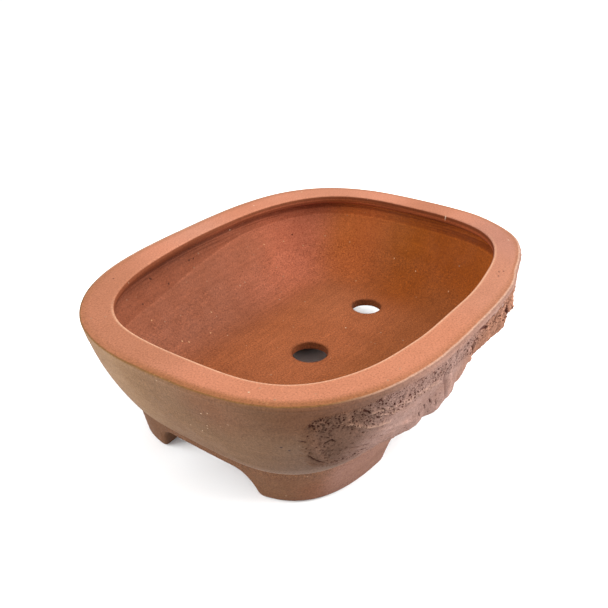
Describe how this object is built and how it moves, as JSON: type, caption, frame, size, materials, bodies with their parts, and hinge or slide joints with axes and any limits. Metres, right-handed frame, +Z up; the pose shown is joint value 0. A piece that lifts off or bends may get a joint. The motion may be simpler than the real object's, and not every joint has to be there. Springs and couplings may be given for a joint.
{
  "type": "bonsai pot",
  "caption": "Shallow rounded-rectangle unglazed stoneware bonsai pot with a broad flat rim, floor drain holes, arched corner feet and a rough torn-clay side.",
  "frame": {"origin": "on the ground, under the middle of the rim", "axes": "+X along the pot's long direction, +Z up, so -Y is the side with the torn-clay cladding"},
  "size_m": [0.3, 0.2407, 0.0935],
  "materials": {
    "clay_inside": "matte",
    "clay_wall": "matte",
    "clay_rim": "matte",
    "clay_foot": "matte",
    "clay_cladding": "matte"
  },
  "bodies": {
    "root": {"floor_slab": "clay_inside", "seam_coil": "clay_inside", "wall_shell": "clay_wall", "rim_coil": "clay_rim", "foot_band": "clay_foot", "foot_front_left": "clay_foot", "foot_front_right": "clay_foot", "foot_back_left": "clay_foot", "foot_back_right": "clay_foot", "cladding_corner": "clay_cladding", "cladding_middle": "clay_cladding", "cladding_end": "clay_cladding"}
  },
  "joints": []
}
